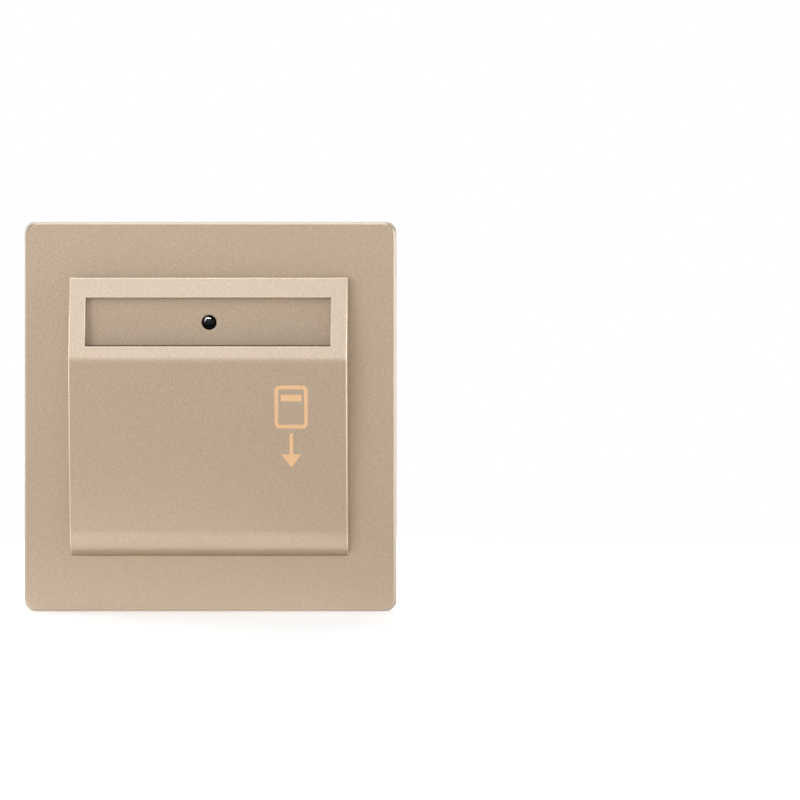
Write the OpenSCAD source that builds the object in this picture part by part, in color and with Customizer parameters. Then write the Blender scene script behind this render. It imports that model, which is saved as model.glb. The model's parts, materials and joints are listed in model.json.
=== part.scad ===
// Hotel key card switch for a standard square wall box.
// +X is to the right seen from the front, +Y goes into the wall, +Z is up.
// The origin is the centre of the wall plane, which the rim of the base frame touches.

/* [Key card] */
// Width of the key card
card_w = 54; // [50:0.5:58]
// Free space beside the card on each side
card_play = 1; // [0.5:0.1:1.5]

/* [Face panel] */
// Width of the face panel
panel_w = 86; // [85:0.5:92]
// Height of the face panel
panel_h = 90; // [86:0.5:98]
// Corner radius of the face panel
panel_r = 3; // [1.5:0.1:4]
// Thickness of the face panel
panel_t = 2.4; // [1.8:0.1:3]
// Distance from the wall to the front of the face panel
panel_stand = 8.5; // [8:0.1:9.5]
// Width of the bright bevel round the face panel
panel_bevel = 0.5; // [0.3:0.1:0.8]
// Distance of the panel's edge inside the base frame's edge
edge_step = 0.2; // [0:0.05:0.4]

/* [Base frame] */
// Corner radius of the base frame
frame_r = 2.4; // [1.8:0.1:3.5]
// Thickness of the rim at the sides
rim_wall = 1.7; // [1.4:0.1:2]
// Thickness of the outer top and bottom walls
cap_wall = 1.1; // [0.9:0.1:1.4]
// Thickness of the inner top and bottom walls
inner_wall = 0.9; // [0.8:0.1:1.2]
// Width of the channel between the top or bottom walls
channel_w = 1.5; // [1:0.1:2]
// Depth of that channel from the wall side
channel_d = 2.4; // [1.5:0.1:3]
// Thickness of the frame's front web
web_t = 1.4; // [1:0.1:1.8]
// Width of the spring clips
clip_w = 5.4; // [4:0.1:7]
// Distance of the spring clips from the middle
clip_x = 16; // [13:0.5:18]
// Distance of the outer channel ribs from the middle
rib_x = 28; // [24:0.5:31]

/* [Card housing] */
// Height of the card housing
housing_h = 64; // [62:0.5:66]
// Wall thickness of the card housing
housing_wall = 2; // [1.6:0.1:2.4]
// Height of the housing's top edge above the panel
brow_out = 5.8; // [4.5:0.1:7]
// Height of the housing's ridge above the panel
ridge_out = 12; // [11:0.1:13.5]
// Height of the ridge above the middle of the panel
ridge_z = 12.8; // [11.5:0.1:14]
// Backward fall of the face below the ridge, in degrees
face_fall = 8.7; // [7:0.1:10]
// Radius of the soft ridge
ridge_r = 4; // [2.5:0.1:5]
// Radius of the rolled foot
foot_r = 7; // [5:0.1:8]
// Draft of the housing's sides, in degrees
side_draft = 1.7; // [0.5:0.1:2.5]
// Lower edge of the window above the middle
window_low = 16; // [15:0.1:17]
// Upper edge of the window above the middle
window_high = 27.2; // [26:0.1:28]

/* [Card tray] */
// Thickness of the tray's cheeks
cheek_t = 1.4; // [1:0.1:1.8]
// Thickness of the tray's back wall and floor
tray_wall = 1.6; // [1.2:0.1:1.8]
// Depth of the pocket's back wall behind the panel front
pocket_sink = 0.6; // [0.3:0.1:0.9]
// Height of the lamp pad above the panel front
pad_out = 4.2; // [3.6:0.1:4.8]
// Height of the pocket floor above the housing's lower edge
pocket_low = 5; // [4:0.1:7]
// Distance of the lamp below the top of the box's inside
lamp_down = 2.6; // [2.5:0.1:4]
// Radius of the lamp's dome
lamp_r = 1.55; // [1.2:0.05:2]

/* [Steel bracket] */
// Thickness of the steel sheet
sheet_t = 0.8; // [0.6:0.1:1]
// Corner radius of the bracket
bracket_r = 4; // [3:0.5:7]
// Distance of the corner holes from the bracket's edges
hole_inset = 5; // [4:0.1:6]
// Radius of the corner holes
hole_r = 2.3; // [1.8:0.1:2.6]
// Spacing of the wall slots, the standard of the wall box
slot_pitch = 60.3; // [60:0.1:62]
// Width of the wall slots
slot_w = 3.9; // [3.4:0.1:4.4]
// Length of the wall slots
slot_l = 7.6; // [6:0.1:10]
// Width of the raised band, outside
band_w = 68.5; // [67:0.5:70]
// Height of the raised band, outside
band_h = 64; // [62:0.5:66]
// Rise of the band towards the wall box
band_rise = 1.4; // [1:0.1:1.8]
// Free height between the upper and the lower band
band_gap = 20; // [16:0.5:24]

/* [Base box] */
// Width of the base box
box_w = 50.4; // [49.5:0.1:51.5]
// Height of the base box
box_h = 51.6; // [51:0.1:52.4]
// Wall thickness of the base box
box_wall = 1.6; // [1.3:0.1:1.8]
// Corner radius of the base box
box_r = 2.4; // [2:0.1:4]
// Depth of the base box behind the wall plane
box_d = 10; // [9:0.1:11]
// Depth of the terminal deck behind the wall plane
deck_d = 18; // [17.5:0.1:19]
// Height of the terminal deck
deck_h = 9.6; // [9.4:0.1:10]
// Depth of the rear cover behind the wall plane
cover_d = 24; // [23.5:0.1:27]
// Wall thickness of the rear cover
cover_wall = 1.3; // [1:0.1:1.6]
// Width of the cover's border, half of it flat and half sloping
border_w = 2.2; // [1.6:0.1:2.6]
// Number of vents in a row
vent_count = 6; // [4:1:6]
// Width of a vent
vent_w = 2.2; // [1.6:0.1:2.6]
// Length of a vent across the cover
vent_l = 3.8; // [3:0.1:4.4]
// Spacing of the vents
vent_pitch = 4.75; // [4.2:0.05:5]

/* [Terminals] */
// Distance of the outer terminals from the box's inner sides
terminal_edge = 6.35; // [6:0.05:7]
// Radius of the wire entry
wire_r = 1.8; // [1.5:0.05:1.9]
// Radius of the brass nose
nose_r = 2.8; // [2.6:0.05:2.9]
// Radius of the clamp screw's shaft
screw_r = 1.9; // [1.6:0.05:2]
// Radius of the clamp screw's head
head_r = 2.6; // [2.4:0.05:2.7]
// Height of the clamp screw's head
head_h = 1.6; // [1.3:0.1:2]

/* [Circuit board] */
// Distance of the board's front behind the wall plane
board_y = 2.3; // [2:0.1:2.6]
// Thickness of the board
board_t = 1.6; // [1.2:0.1:2]
// Width of the relay
relay_w = 27; // [25:0.5:28]
// Height of the relay
relay_h = 24; // [22:0.5:25]
// Depth of the relay
relay_d = 17; // [15:0.5:17.5]
// Thickness of the film capacitor
film_t = 5.4; // [4:0.1:6]
// Radius of the large storage capacitor
storage_r = 4; // [3:0.1:4.2]

/* [Snap switch] */
// Width of the snap switch
case_w = 5.8; // [5:0.1:6.5]
// Length of the snap switch
case_l = 12.8; // [12:0.1:14]
// Depth of the snap switch
case_d = 6; // [5.6:0.1:6.2]
// Width of the card lever
lever_w = 2.6; // [2:0.1:3]
// Thickness of the card lever
lever_t = 0.4; // [0.3:0.05:0.5]
// Forward lean of the lever at rest, in degrees
lever_lean = 12; // [10:0.5:14]
// Bend of the lever towards the card, in degrees
lever_bend = 38; // [34:0.5:42]
// Length of the lever from its pivot to the bend
lever_l = 9.4; // [9:0.1:10]
// Radius of the lever's pivot pin
pivot_r = 0.4; // [0.3:0.05:0.5]

/* [Hidden] */
$fn = 48;
hull_fn = 32;
skin = 0.01;
over = 1;

// Clearances
housing_gap = 0.05;
tray_fit = 0.6;
brow_in = 0.16;
cheek_fit = 0.25;
lip_fit = 0.2;
side_play = 0.3;
end_play = 0.5;
box_gap = 0.5;
cover_fit = 0.15;
run_fit = 0.05;
pin_fit = 0.02;
head_fit = 0.35;

// Housing and card pocket
pocket_half = card_w / 2 + card_play;
tray_half_w = pocket_half + cheek_t;
housing_w = 2 * (tray_half_w + tray_fit + housing_wall);
half_h = housing_h / 2;
tray_half_h = half_h - housing_wall - tray_fit;
hole_w = housing_w + 2 * housing_gap;
hole_h = housing_h + 2 * housing_gap;
hole_corner = 0.6;
lip_t = 1;

// Planes from front to back
y_face = -panel_stand;
y_web0 = y_face + panel_t;
y_web1 = y_web0 + web_t;
bracket_inset = 0.8;
y_steel1 = -bracket_inset;
y_steel0 = y_steel1 - sheet_t;
y_band = y_steel1 + band_rise;
collar_d = 1;
flange_t = 1.2;
y_flange1 = y_steel0 - collar_d;
y_flange0 = y_flange1 - flange_t;
y_pocket = y_face + pocket_sink;
y_pocket1 = y_pocket + tray_wall;
y_board1 = board_y + board_t;
y_deck0 = deck_d - 2;

// Bracket
double_wall = cap_wall + channel_w + inner_wall;
bracket_w = panel_w - 2 * rim_wall - 2 * side_play;
bracket_h = panel_h - 2 * double_wall - 2 * end_play;
open_w = box_w + 2 * box_gap;
open_h = box_h + 2 * box_gap;
band_flank = 2;
band_r = 3.2;
lip_rise = 0.5;
y_lip = y_band + lip_rise;
seat_drop = sheet_t - 0.15;
seat_h = 3.9;
seat_slope = 1.7;
catch_x = 11.2;
catch_w = 3.3;
catch_h = 2.2;
catch_z = open_h / 2 + sheet_t + catch_h / 2;

// Base box, deck and cover
in_w = box_w - 2 * box_wall;
in_h = box_h - 2 * box_wall;
lamp_z = in_h / 2 - lamp_down;
z_low = -box_h / 2;
z_deck = z_low + deck_h;
deck_under = 1.8;
boss_r = 2.4;
boss_in = 2.8;
boss_d = 4.1;
boss_x = in_w / 2 - boss_in;
boss_z = [z_deck + deck_under + boss_in, in_h / 2 - boss_in];
pilot_r = 0.85;
latch_x = 11.7;
latch_w = 3.7;
latch_out = 0.9;

// Terminals
terminal_pitch = in_w / 2 - terminal_edge;
terminal_z = z_low + 6;
block_w = 8;
block_up = 4.5;
block_y0 = y_board1 + 2.1;
block_z0 = z_low + box_wall + 0.1;
screw_y = block_y0 + 6.2;
tip_clear = 0.1;
head_gap = 0.4;
head_seat = 1.2;
terminals = [1, 0, -1];
backed_out = [0, 0.8, 0];

// Snap switch and lever
lead_l = 0.5;
y_case1 = board_y - lead_l;
y_case0 = y_case1 - case_d;
case_z1 = -8;
pivot_y = y_case0 - 0.8;
pivot_z = case_z1 - 1.2;
eye_r = pivot_r + 0.55;
ear_t = 0.8;
ear_gap = 0.2;
plunger_r = 0.75;
plunger_drop = 3.6;
lever_gap = 0.18;
tip_r = 0.8;
tip_gap = 0.45;

// Height of the front faces above the panel at a given z, set in by a wall
rise = (ridge_out - brow_out) / (half_h - ridge_z);
slope = atan(rise);
fall = tan(face_fall);
function upper_face(z, w) = brow_out + rise * (half_h - z) - w / cos(slope);
function lower_face(z, w) = ridge_out - fall * (ridge_z - z) - w / cos(face_fall);
function ridge_at(w) =
    (brow_out + rise * half_h - w / cos(slope) - ridge_out + fall * ridge_z + w / cos(face_fall))
    / (rise + fall);

// Corners of the housing's side outline set in by w, and their radii, from the top back round to the low back
function outline(w, y_back) = [
    [y_back, half_h - w],
    [y_face - upper_face(half_h - w - brow_in, w), half_h - w - brow_in],
    [y_face - lower_face(ridge_at(w), w), ridge_at(w)],
    [y_face - lower_face(w - half_h, w), w - half_h],
    [y_back, w - half_h]
];
function outline_r(w) = [0, 0, max(ridge_r - w, 0.4), max(foot_r - w, 0.4), 0];

// A corner of a path turned into an arc of radius r
function unit(v) = v / norm(v);
function arc(p, a, b, r) =
    let (u = unit(a - p), v = unit(b - p), half = acos(u * v) / 2)
    let (reach = r / tan(half), hub = p + unit(u + v) * r / sin(half))
    let (from = p + u * reach - hub, to = p + v * reach - hub)
    [for (i = [0 : 10]) hub + r * unit(from * (10 - i) + to * i)];
function rounded_path(pts, radii) = [
    for (i = [0 : len(pts) - 1])
        let (n = len(pts), a = pts[(i + n - 1) % n], b = pts[(i + 1) % n])
        each radii[i] == 0 ? [pts[i]] : arc(pts[i], a, b, radii[i])
];

// Where the lever's tip lies at rest, and the bent leg that reaches it
tip_y = y_face - lower_face(pivot_z - lever_l - 4, housing_wall) + tip_gap + tip_r;
bend_y = pivot_y - lever_l * sin(lever_lean);
bend_z = pivot_z - lever_l * cos(lever_lean);
bent_l = (bend_y - tip_y) / sin(lever_lean + lever_bend);

// Flat outlines are drawn in X and Z and given depth from y0 to y1
module sheet(y0, y1) {
    translate([0, y1, 0]) rotate([90, 0, 0]) linear_extrude(y1 - y0) children();
}

// Side outlines are drawn in Y and Z and run from x0 to x1
module side_run(x0, x1) {
    translate([x0, 0, 0]) rotate([90, 0, 90]) linear_extrude(x1 - x0) children();
}

module rounded(w, h, r) {
    square([w - 2 * r, h], center = true);
    square([w, h - 2 * r], center = true);
    for (sx = [-1, 1], sz = [-1, 1]) {
        translate([sx * (w / 2 - r), sz * (h / 2 - r)]) circle(r);
    }
}

module block(x0, x1, y0, y1, z0, z1) {
    translate([x0, y0, z0]) cube([x1 - x0, y1 - y0, z1 - z0]);
}

module post(x, z, r, y0, y1) {
    translate([x, y1, z]) rotate([90, 0, 0]) cylinder(r = r, h = y1 - y0);
}

// Face panel

module panel_shape(in) {
    rounded(panel_w - 2 * in, panel_h - 2 * in, panel_r, $fn = hull_fn);
}

module face_panel() {
    color("#c0a98c") difference() {
        union() {
            hull() {
                sheet(y_face, y_face + skin) panel_shape(edge_step + panel_bevel);
                sheet(y_face + panel_bevel, y_web0) panel_shape(edge_step);
            }
            sheet(y_web0 - skin, y_web1)
                rounded(hole_w + 2 * lip_t, hole_h + 2 * lip_t, hole_corner + lip_t);
        }
        sheet(y_face - over, y_web1 + over) rounded(hole_w, hole_h, hole_corner);
    }
}

// Base frame

// A part of the frame's top (s = 1) or bottom (s = -1) wall between two depths below the outer edge
module frame_wall(s, x0, x1, y0, y1, in0, in1) {
    z0 = panel_h / 2 - in1;
    z1 = panel_h / 2 - in0;
    mirror([0, 0, s > 0 ? 0 : 1]) block(x0, x1, y0, y1, z0, z1);
}

module spring_clip(s, x) {
    clip_out = 1.4;
    seat = y_steel1 - seat_drop;
    frame_wall(s, x - clip_w / 2, x + clip_w / 2, seat + 0.1, -0.2,
        double_wall - skin, double_wall + clip_out);
}

// Where a flat blade lifts the frame off: a tongue across the channel, and a lowered outer wall beside it
pry_half = 3.2;
pry_drop = 0.3;

module pry_tongue() {
    frame_wall(-1, -pry_half + 0.2, pry_half - 0.2, -channel_d - skin, -pry_drop,
        cap_wall + 0.7, cap_wall + channel_w + skin);
}

module base_frame() {
    inside = panel_w / 2 - rim_wall;
    floor_in = cap_wall + channel_w;
    web_rib = [8, 8.8];
    nub = [side_play - 0.05, 1.7, 1];
    color("#ebded6") difference() {
        union() {
            difference() {
                sheet(y_web0, 0) rounded(panel_w, panel_h, frame_r);
                sheet(y_web1, over)
                    rounded(panel_w - 2 * rim_wall, panel_h - 2 * cap_wall, frame_r - cap_wall);
            }
            for (s = [-1, 1]) {
                frame_wall(s, -inside, inside, y_web0, -channel_d, cap_wall / 2, floor_in);
                frame_wall(s, -inside - skin, inside + skin, y_web0, 0, floor_in, double_wall);
                frame_wall(s, -inside - skin, inside + skin, y_web0, y_web1 + 0.8, web_rib[0], web_rib[1]);
                for (x = s > 0 ? [-rib_x, 0, rib_x] : [-rib_x, rib_x]) {
                    frame_wall(s, x - 0.55, x + 0.55, -channel_d - skin, 0, cap_wall / 2, floor_in + skin);
                }
                for (x = [-clip_x, clip_x]) spring_clip(s, x);
                for (z = [-25, 25]) {
                    translate([s * (inside - nub[0] / 2), -1.2, z]) cube(nub + [skin, 0, 0], center = true);
                }
            }
            pry_tongue();
        }
        sheet(y_web0 - over, y_web1 + over)
            rounded(hole_w + 2 * lip_t + 2 * lip_fit, hole_h + 2 * lip_t + 2 * lip_fit, hole_corner + lip_t);
        frame_wall(-1, -pry_half, pry_half, -1.6, over, -over, cap_wall + 0.15);
        frame_wall(-1, -pry_half, pry_half, -pry_drop, over, floor_in - skin, double_wall + over);
    }
}

// Card housing

module housing_solid(w, y_back) {
    half = housing_w / 2 - w;
    front = y_face - ridge_out - over;
    draft = tan(side_draft) * (y_face - front);
    intersection() {
        side_run(-half, half) polygon(rounded_path(outline(w, y_back), outline_r(w)));
        translate([0, 0, -housing_h]) linear_extrude(2 * housing_h) polygon([
            [-half, y_back], [half, y_back], [half, y_face],
            [half - draft, front], [draft - half, front], [-half, y_face]
        ]);
    }
}

module card_housing() {
    inner_half = housing_w / 2 - housing_wall;
    nub_y = y_flange1 + 0.1;
    color("#c8b092") union() {
        difference() {
            housing_solid(0, y_steel0);
            housing_solid(housing_wall, y_steel0 + over);
            block(-pocket_half, pocket_half, y_face - ridge_out - over, y_face, window_low, window_high);
        }
        for (s = [-1, 1], z = [-15, 15]) {
            translate([s * (inner_half - 0.35), (nub_y + y_steel0 - 0.1) / 2, z])
                cube([0.9, y_steel0 - 0.1 - nub_y, 6], center = true);
        }
    }
}

// Card tray

// Front of the tray's back wall, from behind the housing's top down to the pocket floor
pad_low = window_low + 0.35;
back_high = pad_low - 6;
tray_floor = pocket_low - half_h;
wall_front = [
    [y_face - pad_out, tray_half_h],
    [y_face - pad_out, pad_low],
    [y_pocket, back_high],
    [y_pocket, tray_floor]
];

module tray_wall_outline() {
    back = [for (i = [len(wall_front) - 1 : -1 : 0]) wall_front[i] + [tray_wall, 0]];
    polygon(concat(wall_front, back));
}

module tray_inside(y_back) {
    housing_solid(housing_wall + cheek_fit, y_back);
}

module lever_window() {
    ear_half = lever_w / 2 + ear_gap + ear_t + 0.4;
    low = bend_z - bent_l * cos(lever_bend) - tip_r - 1.2;
    block(-ear_half, ear_half, y_pocket - over, y_pocket1 + over, low, pivot_z + eye_r + 0.6);
}

module card_tray() {
    color("#bca587") difference() {
        union() {
            side_run(-pocket_half - skin, pocket_half + skin) tray_wall_outline();
            intersection() {
                tray_inside(y_pocket1);
                union() {
                    for (s = [-1, 1]) {
                        translate([s * (tray_half_w + pocket_half) / 2, y_face, 0])
                            cube([cheek_t, 4 * ridge_out, 2 * tray_half_h], center = true);
                    }
                    block(-tray_half_w, tray_half_w, 3 * y_face, 0, tray_floor - tray_wall, tray_floor);
                }
            }
            sheet(y_pocket, y_flange0) difference() {
                square([2 * tray_half_w, 2 * tray_half_h], center = true);
                square([2 * pocket_half, 2 * tray_half_h - 2 * tray_wall], center = true);
            }
            block(-pocket_half - skin, pocket_half + skin, y_pocket, y_pocket1,
                -tray_half_h + skin, tray_floor);
        }
        lever_window();
        post(0, lamp_z, lamp_r + 0.15, y_face - ridge_out, y_flange0);
    }
}

// Lamp behind the pocket wall

lamp_tip = y_face - pad_out - 0.5;
lamp_back = y_face - pad_out + tray_wall + 2.2;

module indicator_lamp() {
    color("#141416") union() {
        post(0, lamp_z, lamp_r, lamp_tip + lamp_r, lamp_back);
        translate([0, lamp_tip + lamp_r, lamp_z]) rotate([90, 0, 0]) rotate_extrude() intersection() {
            circle(lamp_r);
            square(lamp_r);
        }
        post(0, lamp_z, lamp_r + 0.4, lamp_back - 1, lamp_back);
        for (x = [-0.64, 0.64]) post(x, lamp_z, 0.25, lamp_back - skin, board_y);
    }
}

module lamp_spacer() {
    color("#e6e2d8") difference() {
        post(0, lamp_z, lamp_r + 0.8, lamp_back, board_y);
        post(0, lamp_z, lamp_r - 0.35, lamp_back - over, board_y + over);
    }
}

// Steel bracket

// A block with a straight foot, sloping sides and round corners, from z0 to z1 on both sides of the middle
module soft_block(half_w, z0, z1, r, levels) {
    foot = levels[0];
    knee = levels[1];
    top = levels[2];
    side_run(r - half_w, half_w - r) polygon([
        [foot, z0], [knee, z0], [top, z0 + band_flank], [top, z1 - band_flank], [knee, z1], [foot, z1]
    ]);
    translate([0, 0, z0 + r]) linear_extrude(z1 - z0 - 2 * r) polygon([
        [-half_w, foot], [-half_w, knee], [band_flank - half_w, top],
        [half_w - band_flank, top], [half_w, knee], [half_w, foot]
    ]);
    for (x = [r - half_w, half_w - r], z = [z0 + r, z1 - r]) {
        translate([x, 0, z]) rotate([-90, 0, 0]) rotate_extrude()
            polygon([[0, foot], [r, foot], [r, knee], [r - band_flank, top], [0, top]]);
    }
}

// The raised band above and below the free gap, set in by w and lowered by d
module band_block(w, d) {
    for (s = [0, 1]) {
        mirror([0, 0, s]) soft_block(band_w / 2 - w, band_gap / 2 + w, band_h / 2 - w, band_r - w,
            [y_steel0 - d, y_steel1 - d, y_band - d]);
    }
}

module opening_shape(out) {
    rounded(open_w + 2 * out, open_h + 2 * out, box_r + box_gap + out);
}

// Cross-section of a clip seat: the sheet steps forward between two slopes
module seat_section() {
    half = clip_w / 2 + 0.2;
    back = y_steel1 - seat_drop;
    polygon([
        [-half - seat_slope, y_steel1], [-half, back], [half, back], [half + seat_slope, y_steel1],
        [half + seat_slope, y_steel0], [half, back - sheet_t],
        [-half, back - sheet_t], [-half - seat_slope, y_steel0]
    ]);
}

module each_seat() {
    for (s = [0, 1], x = [-clip_x, clip_x]) {
        mirror([0, 0, s]) translate([x, 0, bracket_h / 2 - seat_h]) children();
    }
}

module slot_shape(w, l) {
    square([w, l - w], center = true);
    for (s = [-1, 1]) translate([0, s * (l - w) / 2]) circle(w / 2);
}

module steel_bracket() {
    seat_half = clip_w / 2 + 0.2 + seat_slope - skin;
    color("#747671") difference() {
        union() {
            difference() {
                union() {
                    sheet(y_steel0, y_steel1) rounded(bracket_w, bracket_h, bracket_r);
                    band_block(0, 0);
                }
                difference() {
                    band_block(sheet_t, sheet_t);
                    sheet(y_flange1 - over, y_band + over) opening_shape(sheet_t);
                }
                each_seat() block(-seat_half, seat_half, y_steel0 - over, y_steel1 + over, 0, seat_h + over);
            }
            each_seat() linear_extrude(seat_h) seat_section();
            sheet(y_flange1, y_lip) opening_shape(sheet_t);
        }
        sheet(y_flange1 - over, y_lip + over) opening_shape(0);
        for (sx = [-1, 1]) {
            for (sz = [-1, 1]) {
                post(sx * (bracket_w / 2 - hole_inset), sz * (bracket_h / 2 - hole_inset), hole_r,
                    y_steel0 - over, over);
            }
            sheet(y_steel0 - over, over) translate([sx * slot_pitch / 2, 0]) slot_shape(slot_w, slot_l);
        }
        for (x = [-catch_x, 0, catch_x], z = [-catch_z, catch_z]) {
            sheet(y_flange1 - over, y_lip + over) translate([x, z])
                square([catch_w, catch_h], center = true);
        }
    }
}

// Base box

module board_bosses() {
    for (s = [-1, 1], z = boss_z) {
        post(s * boss_x, z, boss_r, y_board1, y_board1 + boss_d);
        mirror([s > 0 ? 0 : 1, 0, 0])
            block(boss_x, in_w / 2 + skin, y_board1, y_board1 + boss_d, z - 1, z + 1);
    }
}

module base_box() {
    deck_half = in_w / 2 - 0.2;
    notch_half = head_r + head_fit;
    notch_y = screw_y - head_r - head_fit;
    hook_z = catch_z - catch_h / 2 + 0.25;
    hook_half = 1.3;
    flange_half_w = tray_half_w + 0.1;
    flange_half_h = tray_half_h + 0.1;
    color("#e6e1de") difference() {
        union() {
            difference() {
                union() {
                    sheet(y_flange0, box_d) rounded(box_w, box_h, box_r);
                    sheet(y_flange0, y_flange1) square([2 * flange_half_w, 2 * flange_half_h], center = true);
                    intersection() {
                        sheet(box_d - skin, deck_d) rounded(box_w, box_h, box_r);
                        block(-box_w, box_w, 0, deck_d, z_low - over, z_deck);
                    }
                }
                sheet(y_flange0 - over, y_deck0) rounded(in_w, in_h, box_r - box_wall);
            }
            block(-deck_half, deck_half, y_deck0, deck_d, z_deck - skin, z_deck + deck_under);
            board_bosses();
            for (s = [-1, 1]) {
                block(s * terminal_pitch / 2 - 0.6, s * terminal_pitch / 2 + 0.6,
                    y_board1 + 0.2, y_deck0 + skin, z_low + box_wall - skin, z_deck + deck_under);
                for (x = [-latch_x, latch_x]) {
                    mirror([0, 0, s > 0 ? 0 : 1])
                        block(x - latch_w / 2, x + latch_w / 2, y_lip + 0.1, y_lip + 1.3,
                            box_h / 2 - skin, box_h / 2 + latch_out);
                }
                mirror([0, 0, s > 0 ? 0 : 1]) {
                    block(-hook_half, hook_half, y_flange1 - skin, y_band + 0.6, hook_z, hook_z + 1.1);
                    block(-hook_half, hook_half, y_flange0 + skin, y_flange1, box_h / 2 - skin, hook_z + 1.1);
                }
            }
        }
        for (s = [-1, 1], z = boss_z) post(s * boss_x, z, pilot_r, y_board1 - over, y_board1 + boss_d - 1);
        for (t = terminals) {
            post(t * terminal_pitch, terminal_z, nose_r + 0.2, y_deck0 - over, deck_d + over);
            difference() {
                post(t * terminal_pitch, terminal_z, nose_r + 0.9, deck_d - 0.25, deck_d + over);
                post(t * terminal_pitch, terminal_z, nose_r + 0.65, deck_d - over, deck_d + 2 * over);
            }
            block(t * terminal_pitch - notch_half, t * terminal_pitch + notch_half,
                notch_y, deck_d + over, z_low - over, z_low + box_wall + skin);
        }
    }
}

// Rear cover

cover_low = z_deck + 0.2;
cover_mid = (box_h / 2 + cover_low) / 2;

// The cover's outline, round above and square below, set in by w, and by up at its lower edge
module cover_shape(w, up) {
    half = box_w / 2 - w;
    r = max(box_r - w, 0.3);
    high = box_h / 2 - w;
    low = cover_low + up;
    translate([-half, low]) square([2 * half, high - r - low]);
    translate([r - half, low]) square([2 * half - 2 * r, high - low]);
    for (s = [-1, 1]) translate([s * (half - r), high - r]) circle(r);
}

module vent(turn, along) {
    vent_depth = 8;
    reach = turn == 0 ? box_h / 2 : box_w / 2;
    rotate([0, turn, 0]) sheet(cover_d - vent_depth, cover_d + over) translate([along, reach - vent_l]) {
        translate([-vent_w / 2, vent_w / 2]) square([vent_w, vent_l + over]);
        translate([0, vent_w / 2]) circle(vent_w / 2);
    }
}

module rear_cover() {
    face_t = 1.6;
    border_drop = 0.8;
    edge_up = [0.1, 0.4];
    label = [box_w - 11.4, box_h / 2 - cover_low - 8.8];
    label_d = 0.1;
    label_line = 0.2;
    label_r = 1.8;
    tongue_t = 1;
    tongue_d = 1.8;
    tongue_in = box_wall + cover_fit;
    tongue_low = boss_z[0] + boss_r + 1;
    vent_z = 3.8;
    color("#e8e4e1") difference() {
        union() {
            difference() {
                union() {
                    sheet(box_d, cover_d - border_drop) cover_shape(0, 0);
                    hull() {
                        sheet(cover_d - border_drop - over, cover_d - border_drop)
                            cover_shape(border_w / 2, edge_up[0], $fn = hull_fn);
                        sheet(cover_d - skin, cover_d) cover_shape(border_w, edge_up[1], $fn = hull_fn);
                    }
                }
                sheet(box_d - over, cover_d - face_t) cover_shape(cover_wall, cover_wall);
                block(-box_w / 2 + cover_wall, box_w / 2 - cover_wall, box_d - over, deck_d + 0.1,
                    cover_low - over, cover_low + cover_wall + skin);
            }
            difference() {
                sheet(box_d - tongue_d, box_d + 2) cover_shape(tongue_in, tongue_in);
                sheet(box_d - tongue_d - over, box_d + 2 + over)
                    cover_shape(tongue_in + tongue_t, tongue_in + tongue_t);
                block(-box_w, box_w, 0, cover_d, cover_low - over, tongue_low);
            }
            difference() {
                sheet(box_d, box_d + 2) cover_shape(cover_wall - skin, cover_wall - skin);
                sheet(box_d - over, box_d + 2 + over) cover_shape(tongue_in + tongue_t, tongue_in + tongue_t);
                block(-box_w, box_w, 0, cover_d, cover_low - over, tongue_low);
            }
        }
        for (i = [0 : vent_count - 1]) {
            along = (i - (vent_count - 1) / 2) * vent_pitch;
            vent(0, along);
            vent(90, along - vent_z);
            vent(-90, along + vent_z);
        }
        sheet(cover_d - label_d, cover_d + over) translate([0, cover_mid - 1]) difference() {
            rounded(label[0] + 2 * label_line, label[1] + 2 * label_line, label_r + label_line);
            rounded(label[0], label[1], label_r);
        }
    }
}

// Wire terminals

module terminal_block(i) {
    x = terminals[i] * terminal_pitch;
    y1 = y_deck0 - 0.2;
    funnel = 1.2;
    mouth_r = nose_r - 0.35;
    color("#c39a4a") difference() {
        union() {
            block(x - block_w / 2, x + block_w / 2, block_y0, y1, block_z0, terminal_z + block_up);
            post(x, terminal_z, nose_r, y1 - skin, deck_d - 0.4);
            block(x - 2.5, x + 2.5, y_board1, block_y0 + skin, terminal_z - 1, terminal_z + 1);
        }
        post(x, terminal_z, wire_r, block_y0 + 1, deck_d + over);
        translate([x, deck_d - 0.4 - funnel, terminal_z]) rotate([-90, 0, 0])
            cylinder(r1 = wire_r, r2 = mouth_r, h = funnel);
        post(x, terminal_z, mouth_r, deck_d - 0.4 - skin, deck_d);
        translate([x, screw_y, block_z0 - over])
            cylinder(r = screw_r + run_fit, h = terminal_z - block_z0 + over);
        translate([x, screw_y, block_z0 - over]) cylinder(r = head_r + head_fit, h = head_seat + over);
    }
}

module terminal_screw(i) {
    x = terminals[i] * terminal_pitch;
    head_z = block_z0 - head_gap - backed_out[i];
    tip_z = terminal_z - wire_r - tip_clear - backed_out[i];
    slot_wide = 0.9;
    color("#d0a24a") difference() {
        union() {
            translate([x, screw_y, head_z - head_h]) cylinder(r = head_r, h = head_h);
            translate([x, screw_y, head_z - skin]) cylinder(r = screw_r, h = tip_z - head_z - 0.5 + skin);
            translate([x, screw_y, tip_z - 0.5 - skin])
                cylinder(r1 = screw_r, r2 = screw_r - 0.5, h = 0.5 + skin);
        }
        for (turn = [25, 115]) {
            translate([x, screw_y, head_z - head_h]) rotate([0, 0, turn])
                cube([2 * head_r + over, slot_wide, 1.6], center = true);
        }
    }
}

// Circuit board and what is soldered to it

board_w = in_w - 0.6;
board_h = in_h - 0.6;

module circuit_board() {
    color("#2f6b45") difference() {
        sheet(board_y, y_board1) rounded(board_w, board_h, 1.5);
        for (s = [-1, 1], z = boss_z) post(s * boss_x, z, pilot_r + 0.35, board_y - over, y_board1 + over);
    }
}

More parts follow.
